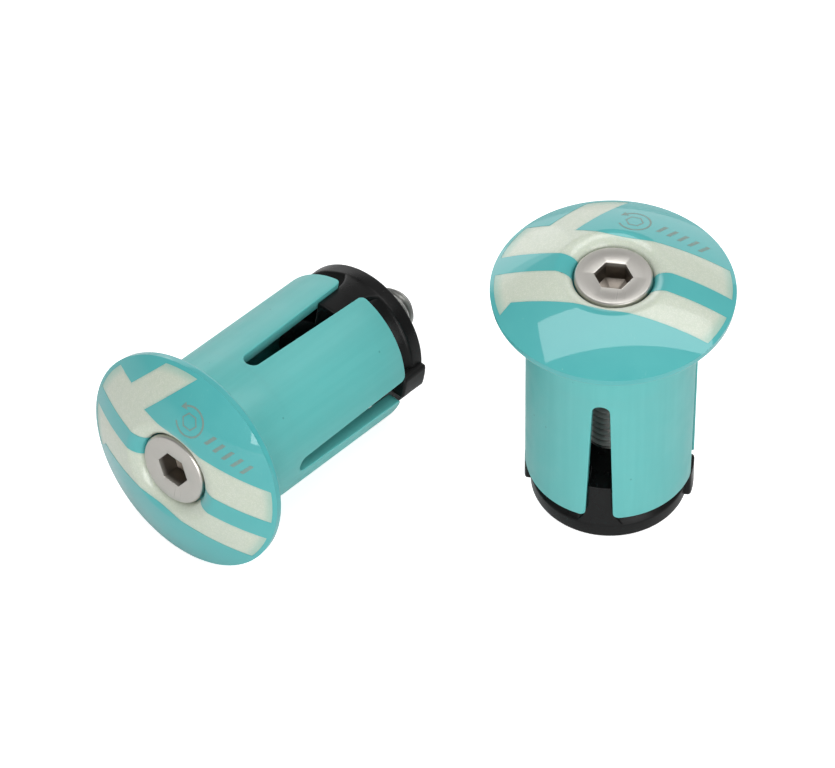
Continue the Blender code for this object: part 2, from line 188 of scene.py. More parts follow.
def ring(bm, height, radius=None, flats=None, chamfer_from=None):
    """Corners of a ring: a circle, or a hexagon whose corners a 30 degree chamfer lowers."""
    made = bmesh.ops.create_circle(bm, segments=RING_STEPS, radius=radius or flats / 2)
    for vert in made["verts"]:
        if flats:
            around = math.atan2(vert.co.y, vert.co.x) % (math.pi / 3) - math.pi / 6
            vert.co *= 1 / math.cos(around)
        drop = 0
        if chamfer_from:
            drop = max(0, vert.co.length - chamfer_from) * math.tan(math.radians(30))
        vert.co.z = height - math.copysign(drop, height - NUT_MIDDLE)
    return made["verts"]


def skinned(bm, rings, closed=False):
    """Join each ring to the next with a row of faces, and the last to the first when closed."""
    following = rings[1:] + rings[:1] if closed else rings[1:]
    for one, other in zip(rings, following):
        for i in range(RING_STEPS):
            bm.faces.new((one[i - 1], one[i], other[i], other[i - 1]))


def combined(bm, tool, operation):
    """The bmesh that a Boolean with another bmesh leaves."""
    made = []
    for part in (bm, tool):
        bmesh.ops.recalc_face_normals(part, faces=part.faces)
        mesh = bpy.data.meshes.new("work")
        part.to_mesh(mesh)
        part.free()
        made.append(bpy.data.objects.new("work", mesh))
        bpy.context.scene.collection.objects.link(made[-1])
    step = made[0].modifiers.new("join", "BOOLEAN")
    step.operation, step.solver, step.object = operation, "EXACT", made[1]
    solid = made[0].evaluated_get(bpy.context.evaluated_depsgraph_get())
    result = bmesh.new()
    result.from_mesh(solid.to_mesh())
    for item in made:
        bpy.data.objects.remove(item, do_unlink=True)
    return result


def arc(centre, radius, start, end, steps):
    """Points along an arc in the profile plane; angles in degrees."""
    angles = [math.radians(start + (end - start) * i / steps) for i in range(steps + 1)]
    return [(centre[0] + radius * math.cos(a), centre[1] + radius * math.sin(a)) for a in angles]


def smoothstep(low, high, value):
    t = min(max((value - low) / (high - low), 0), 1)
    return t * t * (3 - 2 * t)


# ---- cap, inlays and mark -----------------------------------------------------------------

def dome_height(radius):
    return DOME_HEIGHT - SPHERE_RADIUS + math.sqrt(SPHERE_RADIUS ** 2 - radius ** 2)


def upper_band():
    """Outline of the inlay on the +Y side: a band with one slanted branch to the rim."""
    far = CAP_RADIUS * 1.5
    slant = Vector((math.cos(BRANCH_ANGLE), math.sin(BRANCH_ANGLE)))
    inner = Vector((BRANCH_START, BAND_HALF))
    back = inner - Vector((BRANCH_WIDTH / slant.y, 0))
    back += slant * ((SMALL_PANEL_EDGE - BAND_HALF) / slant.y)
    return [(-far, STRIPE_HALF), (far, STRIPE_HALF), (far, BAND_HALF), tuple(inner),
            tuple(inner + slant * far), tuple(back + slant * far), tuple(back),
            (-far, SMALL_PANEL_EDGE)]


def lower_band():
    """Outline of the inlay on the -Y side: a band that turns down to the rim at one end."""
    far = CAP_RADIUS * 1.5
    corner = Vector((LOWER_CORNER, -BAND_HALF))
    end = corner - Vector((math.cos(BRANCH_ANGLE), math.sin(BRANCH_ANGLE))) * far
    return [(far, -STRIPE_HALF), (-far, -STRIPE_HALF), (-far, end.y), tuple(end),
            tuple(corner), (far, -BAND_HALF)]


def sides(outline):
    return list(zip(outline, outline[1:] + outline[:1]))


def inside(outline, point):
    hits = [point.x < a[0] + (point.y - a[1]) * (b[0] - a[0]) / (b[1] - a[1])
            for a, b in sides(outline) if (a[1] > point.y) != (b[1] > point.y)]
    return sum(hits) % 2 == 1


def edge_distance(outline, point):
    """Distance from a point to the nearest side of an outline."""
    nearest = CAP_RADIUS
    for a, b in sides(outline):
        start, along = Vector(a), Vector(b) - Vector(a)
        t = min(max((point.xy - start).dot(along) / along.length_squared, 0), 1)
        nearest = min(nearest, (point.xy - start - along * t).length)
    return nearest


def cap_profile():
    """Section of the cap from the bolt's hole, out under the rim and back over the dome."""
    step, groove = 0.07, 0.16
    low_edge = CAP_RADIUS - step
    profile = [(3.3, -3.5), (SLEEVE_RADIUS - SLEEVE_WALL - 0.1, -3.5),
               (SLEEVE_RADIUS - SLEEVE_WALL - 0.1, -RIM_DEPTH + 0.3),
               (SLEEVE_RADIUS + 0.05, -RIM_DEPTH + 0.3), (SLEEVE_RADIUS + 0.05, -RIM_DEPTH)]
    profile += arc((low_edge - 0.4, -RIM_DEPTH + 0.4), 0.4, -90, 0, 5)
    profile += [(low_edge, -groove), (CAP_RADIUS, -groove + step)]
    for outer, inner, count in ((CAP_RADIUS, INLAY_RADIUS, 4), (INLAY_RADIUS, DISH_RIM, 26)):
        radii = [outer + (inner - outer) * i / count for i in range(count)]
        profile += [(radius, dome_height(radius)) for radius in radii]
    across, drop = DISH_RIM - DISH_RADIUS, dome_height(DISH_RIM) - DISH_BOTTOM
    for i in range(13):
        angle = QUARTER * (1 - i / 12)
        profile.append((DISH_RIM - across * math.cos(angle), DISH_BOTTOM + drop * math.sin(angle)))
    profile.append((3.3, DISH_BOTTOM - DISH_RADIUS + 3.3))
    return profile


def is_top(face):
    centre = face.calc_center_median()
    return centre.z > -0.05 and centre.xy.length > DISH_RADIUS


def patterned_cap():
    """The cap turned from its section, with its top cut along both inlays' outlines."""
    bm = bmesh.new()
    spun(bm, cap_profile(), 288)
    for a, b in sides(upper_band()) + sides(lower_band()):
        faces = [face for face in bm.faces if is_top(face)]
        geometry = set(faces)
        for face in faces:
            geometry.update(face.edges)
            geometry.update(face.verts)
        bmesh.ops.bisect_plane(bm, geom=list(geometry), dist=0.0005, plane_co=(*a, 0),
                               plane_no=(b[1] - a[1], a[0] - b[0], 0))
    bmesh.ops.recalc_face_normals(bm, faces=bm.faces)
    return bm


def inlay_faces(bm, outline):
    return [face for face in bm.faces
            if is_top(face) and face.calc_center_median().xy.length < INLAY_RADIUS
            and inside(outline, face.calc_center_median())]


def sink(bm, faces, depth):
    """Push a region of faces straight down, leaving walls round it."""
    made = bmesh.ops.extrude_face_region(bm, geom=faces)
    verts = [item for item in made["geom"] if isinstance(item, bmesh.types.BMVert)]
    bmesh.ops.translate(bm, vec=(0, 0, -depth), verts=verts)
    left = [face for face in faces if face.is_valid]
    bmesh.ops.delete(bm, geom=left, context="FACES_ONLY")


def cap_shape(pattern):
    bm = pattern.copy()
    for outline in (upper_band(), lower_band()):
        sink(bm, inlay_faces(bm, outline), INLAY_SINK)
    return tidied(bm)


def inlay_shape(pattern, outline):
    """One inlay: its top follows the dome a hair below it, with a small eased edge."""
    bm = pattern.copy()
    keep = set(inlay_faces(bm, outline))
    bmesh.ops.delete(bm, geom=[face for face in bm.faces if face not in keep], context="FACES")
    bmesh.ops.inset_region(bm, faces=bm.faces[:], thickness=0.06, depth=0,
                           use_even_offset=True, use_boundary=True)
    border = {vert for edge in bm.edges if edge.is_boundary for vert in edge.verts}
    tint = bm.verts.layers.float.new("border_tint")
    for vert in bm.verts:
        reach = 1 - smoothstep(0.0, 0.35, edge_distance(outline, vert.co))
        rim = smoothstep(INLAY_RADIUS - 1.3, INLAY_RADIUS, vert.co.xy.length)
        vert[tint] = max(0.6 * reach, rim)
        vert.co.z -= 0.09 if vert in border else 0.03
    made = bmesh.ops.extrude_face_region(bm, geom=bm.faces[:], use_keep_orig=True)
    verts = [item for item in made["geom"] if isinstance(item, bmesh.types.BMVert)]
    bmesh.ops.translate(bm, vec=(0, 0, -INLAY_DEPTH), verts=verts)
    return tidied(bm)


def on_dome(bm, thickness):
    """Lay a flat drawing on the dome as a thin closed film."""
    made = bmesh.ops.extrude_face_region(bm, geom=bm.faces[:], use_keep_orig=True)
    raised = {item for item in made["geom"] if isinstance(item, bmesh.types.BMVert)}
    for vert in bm.verts:
        lift = thickness if vert in raised else -thickness
        vert.co.z = dome_height(vert.co.xy.length) + lift


def bar(bm, points):
    """One flat bar of the mark from its corner points, split so that it can follow the dome."""
    face = bm.faces.new([bm.verts.new((x, y, 0)) for x, y in points])
    bmesh.ops.subdivide_edges(bm, edges=face.edges[:], cuts=3, use_grid_fill=True)


def mark_shape():
    """A plain tightening sign: a hexagon in a turning arrow, and a row of slanted bars."""
    bm = bmesh.new()
    centre = Vector((0.4, 9.3, 0))
    for inner, outer, start, end in ((0.95, 1.15, 0, 360), (1.8, 2.04, -150, 130)):
        count = 6 if end - start == 360 else 24
        rows = []
        for i in range(count + 1):
            angle = math.radians(start + (end - start) * i / count)
            way = Vector((math.cos(angle), math.sin(angle), 0))
            rows.append([bm.verts.new(centre + way * radius) for radius in (inner, outer)])
        for one, other in zip(rows, rows[1:]):
            bm.faces.new((one[0], one[1], other[1], other[0]))
    tip = Vector((math.cos(math.radians(130)), math.sin(math.radians(130)), 0))
    ahead = Vector((-tip.y, tip.x, 0))
    corners = [centre + tip * 1.45, centre + tip * 2.4, centre + tip * 1.92 + ahead * 0.85]
    bm.faces.new([bm.verts.new(corner) for corner in corners])
    for i in range(5):
        left, low = 3.2 + 1.35 * i, 8.1 - 0.28 * i
        bar(bm, [(left, low), (left + 0.5, low), (left + 1.3, low + 1.5), (left + 0.8, low + 1.5)])
    bmesh.ops.remove_doubles(bm, verts=bm.verts, dist=0.0005)
    on_dome(bm, FILM)
    return tidied(bm)


# ---- sleeve -------------------------------------------------------------------------------

def slot_half(level):
    """Half the slot's width at a level below the rim; its root is round."""
    if level < SLOT_FULL:
        return math.sqrt(max(0, SLOT_ROOT_HALF ** 2 - (SLOT_FULL - level) ** 2))
    along = (level - SLOT_FULL) / (SLEEVE_END - SLOT_FULL)
    return SLOT_ROOT_HALF + (SLOT_MOUTH_HALF - SLOT_ROOT_HALF) * along


def quarter_outline():
    """A quarter of the sleeve laid flat: (distance round the outside, level) points."""
    edge = SLEEVE_RADIUS * QUARTER / 2
    side = [(edge, COLLAR_SEAM)]
    side += [(edge - slot_half(level), level) for level in
             (SLOT_FULL - SLOT_ROOT_HALF * math.cos(QUARTER * i / 8) for i in range(9))]
    for i in range(7):
        angle = QUARTER * i / 6
        level = SLEEVE_END - FINGER_CORNER * (1 - math.sin(angle))
        side.append((edge - slot_half(level) - FINGER_CORNER * (1 - math.cos(angle)), level))
    return side + [(-across, level) for across, level in reversed(side)]


def cut_across(bm, point, normal):
    bmesh.ops.bisect_plane(bm, geom=bm.verts[:] + bm.edges[:] + bm.faces[:], dist=0.0005,
                           plane_co=point, plane_no=normal)


def quarter_shape():
    """One springy finger and the bit of sleeve above it, bent round from a flat plate."""
    bm = bmesh.new()
    bm.faces.new([bm.verts.new((across, 0, -level)) for across, level in quarter_outline()])
    walls = bmesh.ops.extrude_face_region(bm, geom=bm.faces[:], use_keep_orig=True)
    back = [item for item in walls["geom"] if isinstance(item, bmesh.types.BMVert)]
    bmesh.ops.translate(bm, vec=(0, SLEEVE_WALL, 0), verts=back)
    bmesh.ops.recalc_face_normals(bm, faces=bm.faces)
    free = [edge for edge in bm.edges
            if abs(edge.verts[0].co.y - edge.verts[1].co.y) < 0.001
            and max(vert.co.z for vert in edge.verts) < -SLOT_ROOT + 0.001]
    bmesh.ops.bevel(bm, geom=free, offset=0.14, offset_type="OFFSET", segments=3,
                    profile=0.5, affect="EDGES", material=-1)
    edge = SLEEVE_RADIUS * QUARTER / 2
    columns = 40
    for i in range(1, columns):
        cut_across(bm, (edge * (2 * i / columns - 1), 0, 0), (1, 0, 0))
    for level in ([SLOT_ROOT + 0.35 * i for i in range(12)]
                  + [SLOT_ROOT + 5 + 2 * i for i in range(7)]):
        cut_across(bm, (0, 0, -level), (0, 0, 1))
    for vert in bm.verts:
        half, radius = slot_half(-vert.co.z), SLEEVE_RADIUS - vert.co.y
        narrow = ((QUARTER / 2 - math.asin(half / radius))
                  / (QUARTER / 2 - half / SLEEVE_RADIUS))
        angle = vert.co.x / SLEEVE_RADIUS * narrow
        vert.co.x, vert.co.y = radius * math.cos(angle), radius * math.sin(angle)
    return tidied(bm)


def add_quarter(shape, plug, number, finish):
    """A quarter of the sleeve, put in its place in its finger's stead, with its placing baked into
    its mesh.
    """
    name = f"finger_{number}"
    piece = add_piece(f"sleeve_quarter_{number}", shape, plug, None, finish,
                      [name], QUARTER * (number - 0.5))
    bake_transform(piece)


def neck_shape():
    """The unslotted top of the sleeve, with a hair of shadow gap under the cap."""
    bore = SLEEVE_RADIUS - SLEEVE_WALL
    bm = bmesh.new()
    spun(bm, [(bore, -COLLAR_SEAM), (SLEEVE_RADIUS, -COLLAR_SEAM),
              (SLEEVE_RADIUS, -RIM_DEPTH - 0.25), (SLEEVE_RADIUS - 0.06, -RIM_DEPTH - 0.1),
              (SLEEVE_RADIUS - 0.06, -RIM_DEPTH + 0.25), (bore, -RIM_DEPTH + 0.25)], 160)
    return tidied(bm)


# ---- bolt, wedge and nut ------------------------------------------------------------------

def bolt_head_shape():
    """Countersunk head with an eased edge and a hexagon socket with a drilled bottom."""
    bm = bmesh.new()
    edge_low = HEAD_TOP - 0.8
    rings = [ring(bm, SOCKET_FLOOR, flats=SOCKET_FLATS),
             ring(bm, HEAD_TOP - 0.16, flats=SOCKET_FLATS),
             ring(bm, HEAD_TOP - 0.04, flats=SOCKET_FLATS + 0.1),
             ring(bm, HEAD_TOP, flats=SOCKET_FLATS + 0.28)]
    rings += [ring(bm, height, radius=radius) for radius, height in (
        (HEAD_RADIUS - 0.24, HEAD_TOP), (HEAD_RADIUS - 0.19, HEAD_TOP - 0.015),
        (HEAD_RADIUS - 0.04, HEAD_TOP - 0.15), (HEAD_RADIUS, HEAD_TOP - 0.22),
        (HEAD_RADIUS, edge_low + 0.08), (HEAD_RADIUS - 0.06, edge_low),
        (THREAD_RADIUS, edge_low - HEAD_RADIUS + THREAD_RADIUS), (THREAD_RADIUS, -2.6),
        (THREAD_ROOT, -3.0))]
    skinned(bm, rings)
    for corners, peak in ((rings[0], SOCKET_FLOOR - 0.9), (rings[-1], -3.0)):
        for vert in bmesh.ops.poke(bm, faces=[bm.faces.new(corners)])["verts"]:
            vert.co.z = peak
    return tidied(bm)


def thread_shape():
    """The bolt's threaded shank: one tooth swept down a helix, cut square at both ends."""
    bm = bmesh.new()
    steps, turns = 48, math.ceil(BOLT_TIP / PITCH) + 1
    tooth = ((THREAD_ROOT, 0), (THREAD_ROOT, 0.12), (THREAD_RADIUS, 0.44),
             (THREAD_RADIUS, 0.56), (THREAD_ROOT, 0.88), (THREAD_ROOT, 1))
    points = [bm.verts.new((radius, 0, -share * PITCH)) for radius, share in tooth]
    edges = [bm.edges.new(pair) for pair in zip(points, points[1:])]
    bmesh.ops.spin(bm, geom=points + edges, cent=(0, 0, 0), axis=(0, 0, -1),
                   dvec=(0, 0, -PITCH / steps), angle=2 * math.pi * turns, steps=steps * turns)
    bmesh.ops.remove_doubles(bm, verts=bm.verts, dist=0.002)
    for height, side in ((-SHANK_START, 1), (-BOLT_TIP, -1)):
        cut = bmesh.ops.bisect_plane(bm, geom=bm.verts[:] + bm.edges[:] + bm.faces[:],
                                     dist=0.0005, plane_co=(0, 0, height),
                                     plane_no=(0, 0, side), clear_outer=True)
        rim = [item for item in cut["geom_cut"] if isinstance(item, bmesh.types.BMEdge)]
        bmesh.ops.edgeloop_fill(bm, edges=rim)
    for vert in bm.verts:
        limit = TIP_RADIUS + (vert.co.z + BOLT_TIP)
        if vert.co.xy.length > limit:
            vert.co.xy *= limit / vert.co.xy.length
    return tidied(bm)


def key_half(level, flared):
    """Half the width of an ear or rib: it fills its slot; a rib's foot widens into the ring."""
    below = level - SLEEVE_END
    foot = 0.15 * smoothstep(-1, 0, below) + 0.2 * max(0, below) ** 2
    return slot_half(level) - KEY_PLAY + (foot if flared else 0)


def key_shape(turn, top, low, reach, flared):
    """One ear or rib of the wedge: a block with eased edges and a face curved to its radius."""
    inner, edge = 5.9, 0.14 if flared else 0.32
    bm = bmesh.new()
    bmesh.ops.create_cube(bm, size=1)
    bmesh.ops.scale(bm, vec=(reach - inner, 2, low - top), verts=bm.verts)
    bmesh.ops.translate(bm, vec=((reach + inner) / 2, 0, -(low + top) / 2), verts=bm.verts)
    outer = [item for item in bm.edges if max(vert.co.x for vert in item.verts) > inner + 1]
    bmesh.ops.bevel(bm, geom=outer, offset=edge, offset_type="OFFSET", segments=4,
                    profile=0.5, affect="EDGES", material=-1)
    for i in range(1, 6):
        cut_across(bm, (0, i / 3 - 1, 0), (0, 1, 0))
    for i in range(1, 14):
        cut_across(bm, (0, 0, -top - (low - top) * i / 14), (0, 0, 1))
    for vert in bm.verts:
        vert.co.y *= key_half(-vert.co.z, flared)
        if vert.co.x > reach - 0.5:
            vert.co.x -= reach - math.sqrt(reach ** 2 - vert.co.y ** 2)
    bmesh.ops.rotate(bm, matrix=Matrix.Rotation(turn, 3, "Z"), verts=bm.verts)
    return bm


def wedge_shape():
    """The black wedge: a cone that flares to its outside edge, two ears and two flush ribs."""
    bore, shoulder = BOLT_HOLE, 2.1
    mouth = SLEEVE_RADIUS - SLEEVE_WALL - 0.2
    profile = [(bore, -WEDGE_TOP), (6.15, -WEDGE_TOP), (6.26, -WEDGE_TOP - 0.03),
               (6.32, -WEDGE_TOP - 0.1), (mouth - 0.1, -SLEEVE_END + 0.3),
               (mouth, -SLEEVE_END - 0.05)]
    profile += arc((WEDGE_RADIUS - 0.5, -SLEEVE_END - shoulder - 0.35), 0.5, 62, 0, 6)
    profile += arc((WEDGE_RADIUS - 0.42, -WEDGE_END + 0.42), 0.42, 0, -90, 6)
    profile.append((bore, -WEDGE_END))
    bm = bmesh.new()
    spun(bm, profile, 144)
    for number in range(4):
        turn = QUARTER * number
        if number % 2:
            key = key_shape(turn, WEDGE_TOP + 0.02, SLEEVE_END + RIB_FOOT, WEDGE_RADIUS - 0.02,
                            True)
        else:
            key = key_shape(turn, EAR_TOP, EAR_END, SLEEVE_RADIUS + 0.05, False)
        bm = combined(bm, key, "UNION")
    pocket = bmesh.new()
    ends = [ring(pocket, -level, flats=NUT_FLATS + 0.3) for level in (NUT_TOP - 0.2, WEDGE_END + 1)]
    skinned(pocket, ends)
    for corners in ends:
        pocket.faces.new(corners)
    return tidied(combined(bm, pocket, "DIFFERENCE"))


def nut_shape():
    """Hexagon nut with chamfered corners and a countersunk, threaded-size hole."""
    bm = bmesh.new()
    high, low, edge = -NUT_TOP, -NUT_END, NUT_FLATS / 2 - 0.15
    rings = [ring(bm, high - 0.4, radius=THREAD_RADIUS + 0.02), ring(bm, high, radius=3.4),
             ring(bm, high, radius=edge), ring(bm, high, flats=NUT_FLATS, chamfer_from=edge),
             ring(bm, low, flats=NUT_FLATS, chamfer_from=edge), ring(bm, low, radius=edge),
             ring(bm, low, radius=3.4), ring(bm, low + 0.4, radius=THREAD_RADIUS + 0.02)]
    skinned(bm, rings, closed=True)
    return tidied(bm)


# ---- shared effects -----------------------------------------------------------------------

def new_group(name, inputs, outputs):
    group = bpy.data.node_groups.new(name, "ShaderNodeTree")
    for socket, default in inputs:
        kind = "NodeSocketVector" if default is None else "NodeSocketFloat"
        made = group.interface.new_socket(name=socket, in_out="INPUT", socket_type=kind)
        if default is not None:
            made.default_value = default
    for socket in outputs:
        group.interface.new_socket(name=socket, in_out="OUTPUT", socket_type="NodeSocketFloat")
    return group, group.nodes.new("NodeGroupInput"), group.nodes.new("NodeGroupOutput")


def plug_in(tree, socket, value):
    """Feed a socket from another socket, or set it."""
    if isinstance(value, bpy.types.NodeSocket):
        tree.links.new(value, socket)
    elif value is not None:
        socket.default_value = value


def maths(tree, operation, first, second=None, clamp=False):
    node = tree.nodes.new("ShaderNodeMath")
    node.operation, node.use_clamp = operation, clamp
    plug_in(tree, node.inputs[0], first)
    plug_in(tree, node.inputs[1], second)
    return node.outputs[0]


def band(tree, value, low, high, out_low=0.0, out_high=1.0):
    """Map a value's range onto another, smoothly and without overshoot."""
    node = tree.nodes.new("ShaderNodeMapRange")
    node.interpolation_type = "SMOOTHSTEP"
    for socket, number in zip(node.inputs, (value, low, high, out_low, out_high)):
        plug_in(tree, socket, number)
    return node.outputs["Result"]


def stretch(tree, vector, scale, rotation=(0, 0, 0)):
    node = tree.nodes.new("ShaderNodeMapping")
    plug_in(tree, node.inputs["Vector"], vector)
    node.inputs["Scale"].default_value = scale
    node.inputs["Rotation"].default_value = rotation
    return node.outputs["Vector"]


def noise(tree, vector, scale, detail=2.0, roughness=0.5):
    node = tree.nodes.new("ShaderNodeTexNoise")
    plug_in(tree, node.inputs["Vector"], vector)
    plug_in(tree, node.inputs["Scale"], scale)
    node.inputs["Detail"].default_value = detail
    node.inputs["Roughness"].default_value = roughness
    return node.outputs["Fac"]


def cells(tree, vector, scale):
    node = tree.nodes.new("ShaderNodeTexVoronoi")
    plug_in(tree, node.inputs["Vector"], vector)
    plug_in(tree, node.inputs["Scale"], scale)
    return node


def grain_group():
    """Fine moulded grain over a slow waviness, and a broad cloud for colour."""
    group, come, leave = new_group(
        "moulded grain", [("Vector", None), ("Per Millimetre", 6.0), ("Waviness", 0.3)],
        ["Height", "Cloud"])
    vector = come.outputs["Vector"]
    fine = noise(group, vector, come.outputs["Per Millimetre"], 3.0, 0.6)
    wave = maths(group, "MULTIPLY", noise(group, vector, 0.35, 1.0), come.outputs["Waviness"])
    plug_in(group, leave.inputs["Height"], maths(group, "ADD", fine, wave))
    plug_in(group, leave.inputs["Cloud"], noise(group, vector, 0.22, 2.0, 0.55))
    return group


def specks_group():
    """Sparse small specks of uneven size, such as dust in a moulding."""
    group, come, leave = new_group(
        "specks", [("Vector", None), ("Per Millimetre", 1.2), ("Size", 0.1), ("Share", 0.3)],
        ["Mask"])
    spots = cells(group, come.outputs["Vector"], come.outputs["Per Millimetre"])
    chance = group.nodes.new("ShaderNodeSeparateColor")
    plug_in(group, chance.inputs["Color"], spots.outputs["Color"])
    size = maths(group, "MULTIPLY", come.outputs["Size"],
                 band(group, chance.outputs["Green"], 0, 1, 0.35, 1))
    near = maths(group, "LESS_THAN", spots.outputs["Distance"], size)
    kept = maths(group, "LESS_THAN", chance.outputs["Red"], come.outputs["Share"])
    plug_in(group, leave.inputs["Mask"], maths(group, "MULTIPLY", near, kept))
    return group


def scratches_group():
    """Hair-fine handling scratches that lie in two leanings and come and go."""
    group, come, leave = new_group(
        "hair scratches", [("Vector", None), ("Amount", 0.5)], ["Mask"])
    vector, total = come.outputs["Vector"], 0.0
    for lean, across in ((0.5, 2.6), (-0.9, 2.1)):
        drawn = stretch(group, vector, (across, 0.09, across), (0.2, 0.1, lean))
        line = band(group, noise(group, drawn, 2.0, 2.0), 0.66, 0.74)
        total = maths(group, "ADD", line, total)
    there = band(group, noise(group, vector, 0.4, 1.0), 0.45, 0.7)
    mask = maths(group, "MULTIPLY", maths(group, "MULTIPLY", total, there),
                 come.outputs["Amount"], clamp=True)
    plug_in(group, leave.inputs["Mask"], mask)
    return group


GRAIN = grain_group()
SPECKS = specks_group()
SCRATCHES = scratches_group()


# ---- finishes -----------------------------------------------------------------------------

def linear(red, green, blue):
    """A colour given on a 0 to 255 scale, as the renderer's linear colour."""
    shares = [part / 255 for part in (red, green, blue)]
    return (*(s / 12.92 if s <= 0.04045 else ((s + 0.055) / 1.055) ** 2.4 for s in shares), 1)


class Finish:
    """A material under construction, with the plug's own millimetres as its coordinates."""

    def __init__(self, name, plug, **constants):
        self.material = bpy.data.materials.new(f"{name}_{plug}")
        self.material.use_nodes = True
        self.tree = self.material.node_tree
        self.shader = self.tree.nodes["Principled BSDF"]
        for socket, value in constants.items():
            self.shader.inputs[socket.replace("_", " ")].default_value = value
        where = self.tree.nodes.new("ShaderNodeTexCoord")
        place = self.tree.nodes.new("ShaderNodeMapping")
        back = plug_matrix(plug).inverted()
        place.inputs["Location"].default_value = back.translation
        place.inputs["Rotation"].default_value = back.to_euler()
        place.inputs["Scale"].default_value = back.to_scale()
        self.tree.links.new(where.outputs["Object"], place.inputs["Vector"])
        self.vector = place.outputs["Vector"]

    def use(self, group, vector=None, **values):
        node = self.tree.nodes.new("ShaderNodeGroup")
        node.node_tree = group
        plug_in(self.tree, node.inputs["Vector"], vector or self.vector)
        for socket, value in values.items():
            plug_in(self.tree, node.inputs[socket.replace("_", " ")], value)
        return node.outputs

    def mixed(self, share, first, second):
        node = self.tree.nodes.new("ShaderNodeMix")
        node.data_type = "RGBA"
        plug_in(self.tree, node.inputs["Factor"], share)
        plug_in(self.tree, node.inputs[6], first)
        plug_in(self.tree, node.inputs[7], second)
        return node.outputs[2]

    def set(self, socket, value):
        plug_in(self.tree, self.shader.inputs[socket], value)

    def bump(self, height, depth, below=None):
        """Feed the normal from a height in its own units, scaled to a depth in millimetres."""
        node = self.tree.nodes.new("ShaderNodeBump")
        node.inputs["Distance"].default_value = depth * MM
        plug_in(self.tree, node.inputs["Height"], height)
        plug_in(self.tree, node.inputs["Normal"], below)
        self.set("Normal", node.outputs["Normal"])
        return node.outputs["Normal"]


def teal_gloss(plug):
    """Glossy moulded teal of the cap's panels: near smooth, a few hair scratches and motes."""
    f = Finish("teal_gloss", plug, Coat_Weight=1.0, Coat_Roughness=0.035, IOR=1.5,
               Specular_IOR_Level=0.2)
    grain = f.use(GRAIN, Per_Millimetre=5.0, Waviness=1.2)
    scratch = f.use(SCRATCHES, Amount=0.8)["Mask"]
    mote = f.use(SPECKS, Per_Millimetre=0.7, Size=0.08, Share=0.25)["Mask"]
    body = f.mixed(grain["Cloud"], linear(72, 170, 172), linear(84, 180, 179))
    body = f.mixed(maths(f.tree, "MULTIPLY", scratch, 0.12), body, linear(150, 210, 206))
    body = f.mixed(maths(f.tree, "MULTIPLY", mote, 0.45), body, linear(140, 200, 195))
    f.set("Base Color", body)
    rough = band(f.tree, grain["Cloud"], 0.3, 0.7, 0.35, 0.45)
    f.set("Roughness", maths(f.tree, "ADD", rough, maths(f.tree, "MULTIPLY", scratch, 0.15)))
    f.bump(grain["Height"], 0.003)
    return f.material


def teal_satin(plug):
    """Satin teal of the sleeve: soft moulding grain, faint flow streaks along it and specks."""
    f = Finish("teal_satin", plug, Coat_Weight=0.1, Coat_Roughness=0.3, IOR=1.48,
               Subsurface_Weight=0.25, Subsurface_Scale=0.001,
               Subsurface_Radius=(0.3, 1.0, 1.0))
    grain = f.use(GRAIN, Per_Millimetre=7.0, Waviness=0.8)
    flow = noise(f.tree, stretch(f.tree, f.vector, (1.6, 1.6, 0.07)), 0.8, 3.0)
    mote = f.use(SPECKS, Per_Millimetre=0.55, Size=0.09, Share=0.3)["Mask"]
    body = f.mixed(band(f.tree, flow, 0.3, 0.75), linear(99, 186, 183), linear(104, 190, 187))
    body = f.mixed(maths(f.tree, "MULTIPLY", grain["Cloud"], 0.3), body, linear(84, 176, 174))
    body = f.mixed(maths(f.tree, "MULTIPLY", mote, 0.5), body, linear(60, 130, 126))
    f.set("Base Color", body)
    f.set("Roughness", band(f.tree, grain["Cloud"], 0.3, 0.7, 0.36, 0.46))
    f.bump(grain["Height"], 0.010)
    return f.material


def glow_cream(plug):
    """Cream inlay that glows in the dark: pigment granules in clear resin, greener at its edge."""
    f = Finish("glow_cream", plug, Coat_Weight=0.6, Coat_Roughness=0.08, IOR=1.5,
               Subsurface_Weight=0.2, Subsurface_Scale=0.0006,
               Subsurface_Radius=(1.0, 1.0, 0.7))
    grain = f.use(GRAIN, Per_Millimetre=4.0, Waviness=1.5)
    granule = cells(f.tree, f.vector, 5.5)
    pale = band(f.tree, granule.outputs["Distance"], 0.1, 0.6, 1.0, 0.0)
    blotch = band(f.tree, noise(f.tree, f.vector, 2.2, 4.0, 0.65), 0.35, 0.68)
    body = f.mixed(maths(f.tree, "MULTIPLY", pale, 0.5), linear(200, 208, 192),
                   linear(224, 229, 217))
    body = f.mixed(maths(f.tree, "MULTIPLY", blotch, 0.5), body, linear(190, 202, 184))
    tint = f.tree.nodes.new("ShaderNodeAttribute")
    tint.attribute_name = "border_tint"
    body = f.mixed(maths(f.tree, "MULTIPLY", tint.outputs["Fac"], 0.6), body,
                   linear(128, 186, 172))
    f.set("Base Color", body)
    f.set("Roughness", band(f.tree, blotch, 0, 1, 0.3, 0.42))
    f.bump(grain["Height"], 0.006)
    return f.material


def from_axis(f):
    """Distance from the plug's axis, in millimetres."""
    apart = f.tree.nodes.new("ShaderNodeSeparateXYZ")
    plug_in(f.tree, apart.inputs[0], f.vector)
    squares = [maths(f.tree, "POWER", apart.outputs[way], 2.0) for way in "XY"]
    return maths(f.tree, "SQRT", maths(f.tree, "ADD", *squares)), apart.outputs["Z"]


